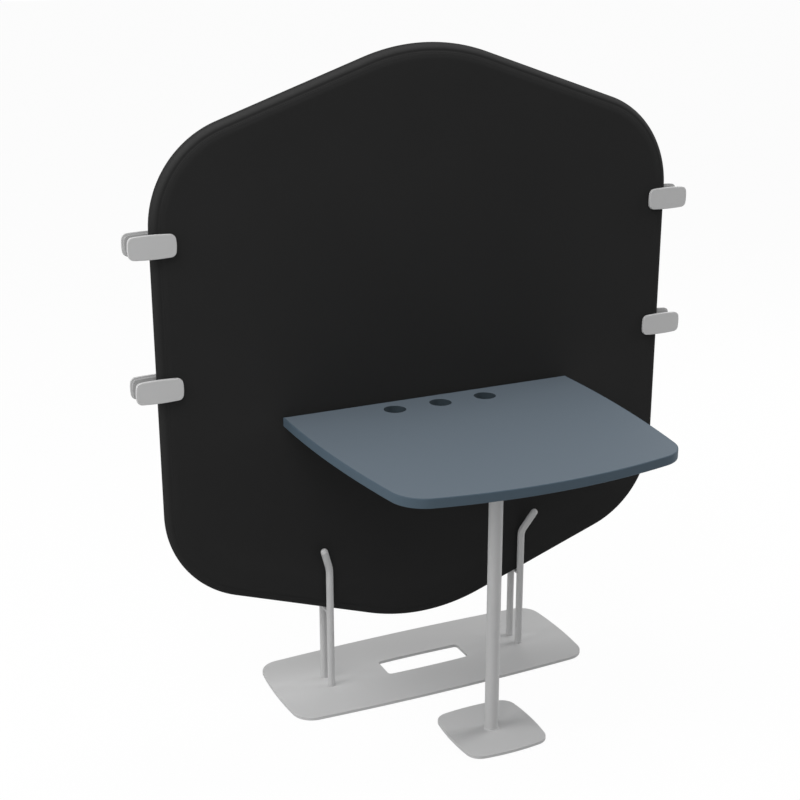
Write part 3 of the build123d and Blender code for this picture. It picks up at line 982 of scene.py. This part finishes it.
    def simulate(self, piece: bpy.types.Object) -> list[Vector]:
        """Blow the cloth out over its foam.

        Args:
            piece: the shell. Its mesh stays as it is, and no modifier is left on it.

        Returns:
            Where the simulation takes each vertex.
        """
        held = self.hold(piece)
        modifier = piece.modifiers.new("cloth", "CLOTH")
        self.cloth.apply(modifier.settings)
        modifier.settings.vertex_group_mass = held.name
        modifier.collision_settings.use_collision = False
        scene = bpy.context.scene
        for frame_number in range(1, self.cloth.frames + 1):
            scene.frame_set(frame_number)
        shaped = piece.evaluated_get(bpy.context.evaluated_depsgraph_get())
        moved = [vert.co.copy() for vert in shaped.to_mesh().vertices]
        shaped.to_mesh_clear()
        piece.modifiers.remove(modifier)
        piece.vertex_groups.remove(held)
        scene.frame_set(1)
        return moved

    def relax(self, piece: bpy.types.Object, rises: list[float]) -> list[float]:
        """Even out a height over each vertex and its neighbours, several times.

        Args:
            piece: the shell.
            rises: one height for each vertex.

        Returns:
            The evened heights.
        """
        neighbours: list[list[int]] = [[] for _ in rises]
        for edge in piece.data.edges:
            first, second = edge.vertices
            neighbours[first].append(second)
            neighbours[second].append(first)
        for _ in range(self.relax_rounds):
            rises = [(rise + sum(rises[near] for near in nears)) / (1 + len(nears))
                     for rise, nears in zip(rises, neighbours)]
        return rises

    def swell_cloth(self, piece: bpy.types.Object) -> None:
        """Let the cloth swell a little between its seams, as the simulation shows.

        Args:
            piece: the shell, a little smaller than its space. Its vertices are moved.
        """
        rest = [(vert.co.copy(), vert.normal.copy()) for vert in piece.data.vertices]
        moved = self.simulate(piece)
        rises = [(after - before).dot(normal) for (before, normal), after in zip(rest, moved)]
        rises = self.relax(piece, rises)
        log.info("the cloth swelled by %.2f mm at most", 1000 * max(rises))
        for vert, (before, normal), rise in zip(piece.data.vertices, rest, rises):
            vert.co = before + normal * max(-self.swell, min(self.swell, rise))

    def seam_places(self, inset: float) -> Iterable[tuple[Vector, Vector]]:
        """Walk round the outline in stitch steps.

        Args:
            inset: how far inside the outline the seam runs.

        Yields:
            Each stitch's place in X and Z with the seam's direction there.
        """
        for bend in self.bends():
            outward = -left_of(bend.way_in)
            radius = bend.radius - inset
            steps = max(1, round(radius * bend.turn / self.stitch_pitch))
            for step in range(steps):
                turned = Matrix.Rotation(bend.turn * step / steps, 2)
                yield bend.centre + turned @ (outward * radius), turned @ bend.way_in
            start = bend.run_start + left_of(bend.way_out) * inset
            steps = max(1, round(bend.run_length / self.stitch_pitch))
            for step in range(steps):
                yield start + bend.way_out * (bend.run_length * step / steps), bend.way_out

    def sew(self, face: Face) -> None:
        """Lay a row of stitches on the padded face's rounded edge, beside the seam's crease.

        Args:
            face: the side of the screen.
        """
        tree = BVHTree.FromObject(self.piece, bpy.context.evaluated_depsgraph_get())
        size = Matrix.Diagonal((self.stitch_length / 2, self.thread_radius, self.thread_radius, 1))
        places = []
        for place, way in self.seam_places(self.stitch_inset):
            start = Vector((place.x, self.mid_y + face.value * self.half_thickness * 2, place.y))
            hit, normal, _, _ = tree.ray_cast(start, Vector((0, -face.value, 0)))
            along = Vector((way.x, 0, way.y))
            along = (along - normal * along.dot(normal)).normalized()
            turned = Matrix((along, normal.cross(along), normal)).transposed().to_4x4()
            places.append(Matrix.Translation(hit) @ turned @ size)
        seam = bmesh.new()
        batch = bpy.data.meshes.new("stitch_batch")
        for first in range(0, len(places), self.stitch_batch):
            row = bmesh.new()
            for place in places[first:first + self.stitch_batch]:
                bmesh.ops.create_uvsphere(row, u_segments=self.stitch_sides, v_segments=self.stitch_rings,
                                          radius=1.0, matrix=place)
            row.to_mesh(batch)
            row.free()
            seam.from_mesh(batch)
        bpy.data.meshes.remove(batch)
        name = f"{face.name.lower()}_seam_stitches"
        stitches = new_piece(name, seam)
        smooth(stitches)
        self.paints.dress(stitches, SEAM_THREAD)
        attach(stitches, "root")
        log.info("made %s with %d faces", name, len(stitches.data.polygons))

    def build(self) -> None:
        """Make the padded screen and its stitched seams, and put them in place of the CAD layers."""
        piece = new_piece("padded_screen", self.shell())
        smooth(piece)
        self.press(piece, self.slack)
        self.swell_cloth(piece)
        self.press(piece, 0.0)
        self.paints.dress(piece, SCREEN_CLOTH)
        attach(piece, "root")
        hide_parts("front_cover", "back_cover", "front_pad", "back_pad")
        self.piece = piece
        log.info("made %s with %d faces", piece.name, len(piece.data.polygons))
        for face in Face:
            self.sew(face)


@dataclass
class DeskTop:
    """The desk top: laminated board, edge band and the brackets that carry its back edge."""

    paints: Paintbox

    def build(self) -> None:
        """Finish the desk top's layers and its fixings."""
        self.paints.dress_nodes(["desk_top_laminate", "desk_underside_laminate"], DESK_LAMINATE,
                                "desk_laminate")
        self.paints.dress_nodes(["desk_edge_band"], EDGE_BAND, "edge_band")
        # The core's colour is painted shade for the walls of the cable holes.
        self.paints.dress_nodes(["desk_core"], HOLE_SHADED_BOARD, "desk_board")
        self.paints.dress_nodes(["left_desk_bracket", "right_desk_bracket"], PAINTED_STEEL, "painted_steel")
        self.paints.dress_nodes(["bracket_wood_screws", "bracket_machine_screws", "leg_plate_screws"],
                                ZINC, "zinc_steel")


@dataclass
class Weld:
    """A fillet weld's bead round an upright tube, with the ripple of its runs."""

    name: str
    place: Triple
    tube_radius: float
    size: float
    upwards: bool
    runs: int = 48
    ripple: float = 0.12
    arc_steps: int = 6
    merge_distance: float = 1e-6

    def build(self) -> bpy.types.Object:
        """Spin the bead's section round the tube.

        Returns:
            The bead, at its place in the shared frame.
        """
        mesh = bmesh.new()
        sense = 1 if self.upwards else -1
        foot = mesh.verts.new((self.tube_radius + self.size, 0, 0))
        corner = (self.tube_radius - self.size * self.ripple, 0, -sense * self.size * self.ripple)
        bmesh.ops.spin(mesh, geom=[foot], cent=corner, axis=(0, -sense, 0), angle=math.pi / 2,
                       steps=self.arc_steps, use_merge=False, use_duplicate=False)
        section = list(mesh.verts) + list(mesh.edges)
        bmesh.ops.spin(mesh, geom=section, cent=(0, 0, 0), axis=(0, 0, 1), angle=TURN, steps=2 * self.runs,
                       use_merge=True, use_duplicate=False)
        bmesh.ops.remove_doubles(mesh, verts=mesh.verts, dist=self.merge_distance)
        for vert in mesh.verts:
            turn = math.atan2(vert.co.y, vert.co.x)
            away = Vector((vert.co.x, vert.co.y, 0)).length - self.tube_radius
            swell = self.ripple * math.cos(self.runs * turn) * max(0.0, away) * abs(vert.co.z) / self.size
            vert.co += Vector((math.cos(turn), math.sin(turn), sense)) * swell
        bmesh.ops.translate(mesh, verts=mesh.verts, vec=self.place)
        bmesh.ops.recalc_face_normals(mesh, faces=mesh.faces)
        bead = new_piece(self.name, mesh)
        smooth(bead)
        return bead


@dataclass
class SteelStand:
    """The leg with its foot plate, and the base plate with its rods."""

    paints: Paintbox
    bead: float = 0.0022

    def build(self) -> None:
        """Finish the painted steel and the glides under it."""
        steel = ["leg_tube", "leg_top_plate", "foot_plate", "base_plate"]
        steel += [f"{side}_{row}_rod" for side in ("left", "right") for row in ("front", "back")]
        steel += [f"{side}_cross_bar" for side in ("left", "right")]
        self.paints.dress_nodes(steel, PAINTED_STEEL, "painted_steel")
        self.paints.dress_nodes(["rod_screws"], ZINC, "zinc_steel")
        self.paints.dress_nodes(["foot_glides", "base_glides"], RUBBER, "black_rubber")
        low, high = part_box("leg_tube")
        middle = (low + high) / 2
        radius = (high.x - low.x) / 2
        for name, z, upwards in (("leg_foot_weld", low.z, True), ("leg_top_weld", high.z, False)):
            bead = Weld(name, (middle.x, middle.y, z), radius, self.bead, upwards).build()
            self.paints.dress(bead, PAINTED_STEEL)
            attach(bead, "root")
            log.info("made %s", name)


@dataclass
class LinkClip:
    """One linking clip: two plates, their grip pads, the sleeve between them and its screw."""

    paints: Paintbox
    name: str

    def build(self) -> None:
        """Finish the clip's pieces."""
        self.paints.dress_nodes([f"{self.name}_front_plate", f"{self.name}_back_plate"], PAINTED_STEEL,
                                "painted_steel")
        self.paints.dress_nodes([f"{self.name}_front_grip_pad", f"{self.name}_back_grip_pad"], GREY_RUBBER,
                                "grey_rubber")
        self.paints.dress_nodes([f"{self.name}_sleeve", f"{self.name}_screw"], ZINC, "zinc_steel")


@dataclass
class ScreenCore:
    """What the cloth hides: the timber frame, its felt infill and the threaded bushes."""

    paints: Paintbox

    def build(self) -> None:
        """Finish the hidden layers."""
        self.paints.dress_nodes(["screen_frame"], PLYWOOD, "frame_timber")
        self.paints.dress_nodes(["acoustic_infill"], FELT, "felt_infill")
        self.paints.dress_nodes(["screen_inserts"], ZINC, "zinc_steel")


@dataclass(frozen=True)
class Lamp:
    """One soft square lamp, with its side in metres and its power in watts."""

    name: str
    place: Triple
    power: float
    size: float = 2.2

    def hang(self, aim: Triple) -> None:
        """Hang the lamp in the scene.

        Args:
            aim: the point that it looks at.
        """
        data = bpy.data.lights.new(self.name, "AREA")
        data.size = self.size
        data.energy = self.power
        lamp = bpy.data.objects.new(self.name, data)
        lamp.location = self.place
        look = Vector(aim) - Vector(self.place)
        lamp.rotation_euler = look.to_track_quat("-Z", "Y").to_euler()
        bpy.context.scene.collection.objects.link(lamp)


@dataclass
class Studio:
    """A pale floor, an even sky, soft lamps and the camera at the photograph's angle."""

    camera_at: Triple = (-1.4938, -2.8110, 1.8600)
    tilt: float = 71.460
    roll: float = -0.055
    heading: float = -25.041
    lens: float = 65.918
    sensor: float = 36.0
    clip: Stretch = (0.05, 200.0)
    floor_half: float = 30.0
    floor_drop: float = 0.0005
    sky: float = 0.30
    floor_tone: float = 0.60
    floor_glow: float = 0.93
    white: float = 1.0
    aim: Triple = (0.0, 0.1, 0.8)
    lamps: tuple[Lamp, ...] = (
        Lamp("high_left_lamp", (-1.819, -0.95, 4.437), 57.5),
        Lamp("left_lamp", (-3.806, 0.1, 2.575), 61.0),
        Lamp("front_lamp", (-1.903, -3.196, 2.575), 24.0),
        Lamp("right_lamp", (3.806, 0.1, 2.575), 72.0),
        Lamp("back_lamp", (1.485, 1.585, 4.437), 27.0),
    )

    def camera(self) -> None:
        """Place the camera."""
        data = bpy.data.cameras.new("camera")
        data.lens = self.lens
        data.sensor_width = self.sensor
        data.clip_start, data.clip_end = self.clip
        camera = bpy.data.objects.new("camera", data)
        camera.location = self.camera_at
        turn = Matrix.Identity(3)
        for angle, axis in ((self.heading, "Z"), (self.tilt, "X"), (self.roll, "Z")):
            turn = turn @ Matrix.Rotation(math.radians(angle), 3, axis)
        camera.rotation_euler = turn.to_euler()
        bpy.context.scene.collection.objects.link(camera)
        bpy.context.scene.camera = camera

    def floor(self) -> None:
        """Lay the pale floor, which shows white but for the object's shadow."""
        mesh = bmesh.new()
        bmesh.ops.create_grid(mesh, x_segments=1, y_segments=1, size=self.floor_half)
        bmesh.ops.translate(mesh, verts=mesh.verts, vec=(0, 0, -self.floor_drop))
        plane = new_piece("studio_floor", mesh)
        paint = Shader("studio_floor")
        matt = paint.node("BsdfDiffuse", {"Color": rgba(grey(self.floor_tone))})
        # The glow makes up for what the paint, lit at a plain level, lacks to white.
        level = self.white + (1 - self.floor_tone) * (1 / self.floor_glow - 1)
        glow = paint.node("Emission", {"Color": rgba(grey(self.white)), "Strength": level})
        share = paint.math("MULTIPLY", paint.seen_directly(), self.floor_glow)
        paint.close(paint.node("MixShader", {"0": share, "1": matt.outputs[0], "2": glow.outputs[0]}))
        plane.data.materials.append(paint.material)

    def world(self) -> None:
        """Give the world an even pale sky that shows white behind the object."""
        world = bpy.data.worlds.new("studio_sky")
        bpy.context.scene.world = world
        sky = Nodes(world, "OutputWorld")
        level = sky.span(sky.seen_directly(), self.sky, self.white)
        sky.close(sky.node("Background", {"Color": rgba(grey(self.white)), "Strength": level}))

    def build(self) -> None:
        """Set up the whole studio."""
        self.camera()
        self.floor()
        self.world()
        for lamp in self.lamps:
            lamp.hang(self.aim)
        bpy.context.scene.view_settings.view_transform = "Standard"


def main() -> None:
    """Build the studio and dress the object, one sub-assembly after another."""
    logging.basicConfig(level=logging.INFO, format="%(name)s: %(message)s")
    paints = Paintbox()
    Studio().build()
    PaddedScreen(paints).build()
    ScreenCore(paints).build()
    DeskTop(paints).build()
    SteelStand(paints).build()
    for level in ("upper", "lower"):
        for side in ("left", "right"):
            LinkClip(paints, f"{level}_{side}_clip").build()


if __name__ == "__main__":
    main()
